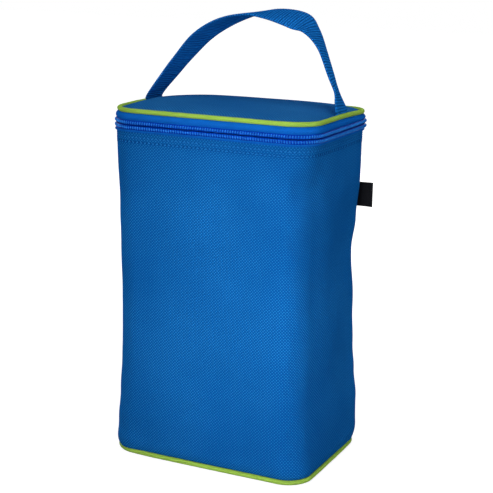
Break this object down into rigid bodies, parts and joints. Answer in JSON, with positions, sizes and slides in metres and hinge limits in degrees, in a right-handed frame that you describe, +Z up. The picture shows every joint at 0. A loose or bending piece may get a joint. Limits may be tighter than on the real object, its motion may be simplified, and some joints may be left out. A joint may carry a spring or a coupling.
{
  "type": "insulated cooler bag",
  "caption": "Upright insulated cooler bag with a zipped foam lid hinged at the back, corded piping, webbing carry handle and folded side label.",
  "frame": {"origin": "middle of the underside, on the surface the bag stands on", "axes": "+Z up, the front faces -Y, +X to the viewer's right"},
  "size_m": [0.1655, 0.1135, 0.3159],
  "materials": {
    "canvas": "woven polyester canvas",
    "piping": "smooth corded piping",
    "foam": "closed-cell foam, soft matt",
    "liner": "satin film",
    "binding": "woven binding tape",
    "zipper_tape": "woven tape",
    "zipper_coil": "satin nylon coil",
    "webbing": "ribbed woven webbing",
    "label": "woven ribbon, bare",
    "slider": "satin paint"
  },
  "bodies": {
    "bag": {"outer_wrap_panel": "canvas", "outer_back_panel": "canvas", "outer_base_panel": "canvas", "base_piping": "piping", "side_label": "label", "foam_front": "foam", "foam_right": "foam", "foam_back": "foam", "foam_left": "foam", "foam_base": "foam", "body_liner": "liner", "mouth_binding": "binding", "lower_zipper_tape": "zipper_tape", "lower_zipper_coil": "zipper_coil"},
    "lid": {"lid_top_panel": "canvas", "lid_piping": "piping", "lid_foam": "foam", "lid_liner": "liner", "lid_binding": "binding", "back_hinge_strip": "canvas", "upper_zipper_tape": "zipper_tape", "upper_zipper_coil": "zipper_coil", "handle_end_left": "webbing", "handle_end_right": "webbing"},
    "handle": {"handle_strap": "webbing"},
    "slider": {"zipper_slider": "slider"},
    "pull": {"zipper_pull": "slider"}
  },
  "joints": [
    {"name": "lid_hinge", "type": "hinge", "parent": "bag", "child": "lid", "pos_m": [0, 0.055, 0.236], "axis": [-1, 0, 0], "range_deg": [0, 150]},
    {"name": "handle_swing", "type": "hinge", "parent": "lid", "child": "handle", "pos_m": [0, 0.0065, 0.2675], "axis": [1, 0, 0], "range_deg": [-85, 85]},
    {"name": "slider_travel", "type": "slide", "parent": "bag", "child": "slider", "axis": [0, -1, 0], "range_m": [0, 0.059]},
    {"name": "pull_flip", "type": "hinge", "parent": "slider", "child": "pull", "pos_m": [-0.0817, 0.028, 0.2405], "axis": [0, 0, -1], "range_deg": [0, 170]}
  ]
}
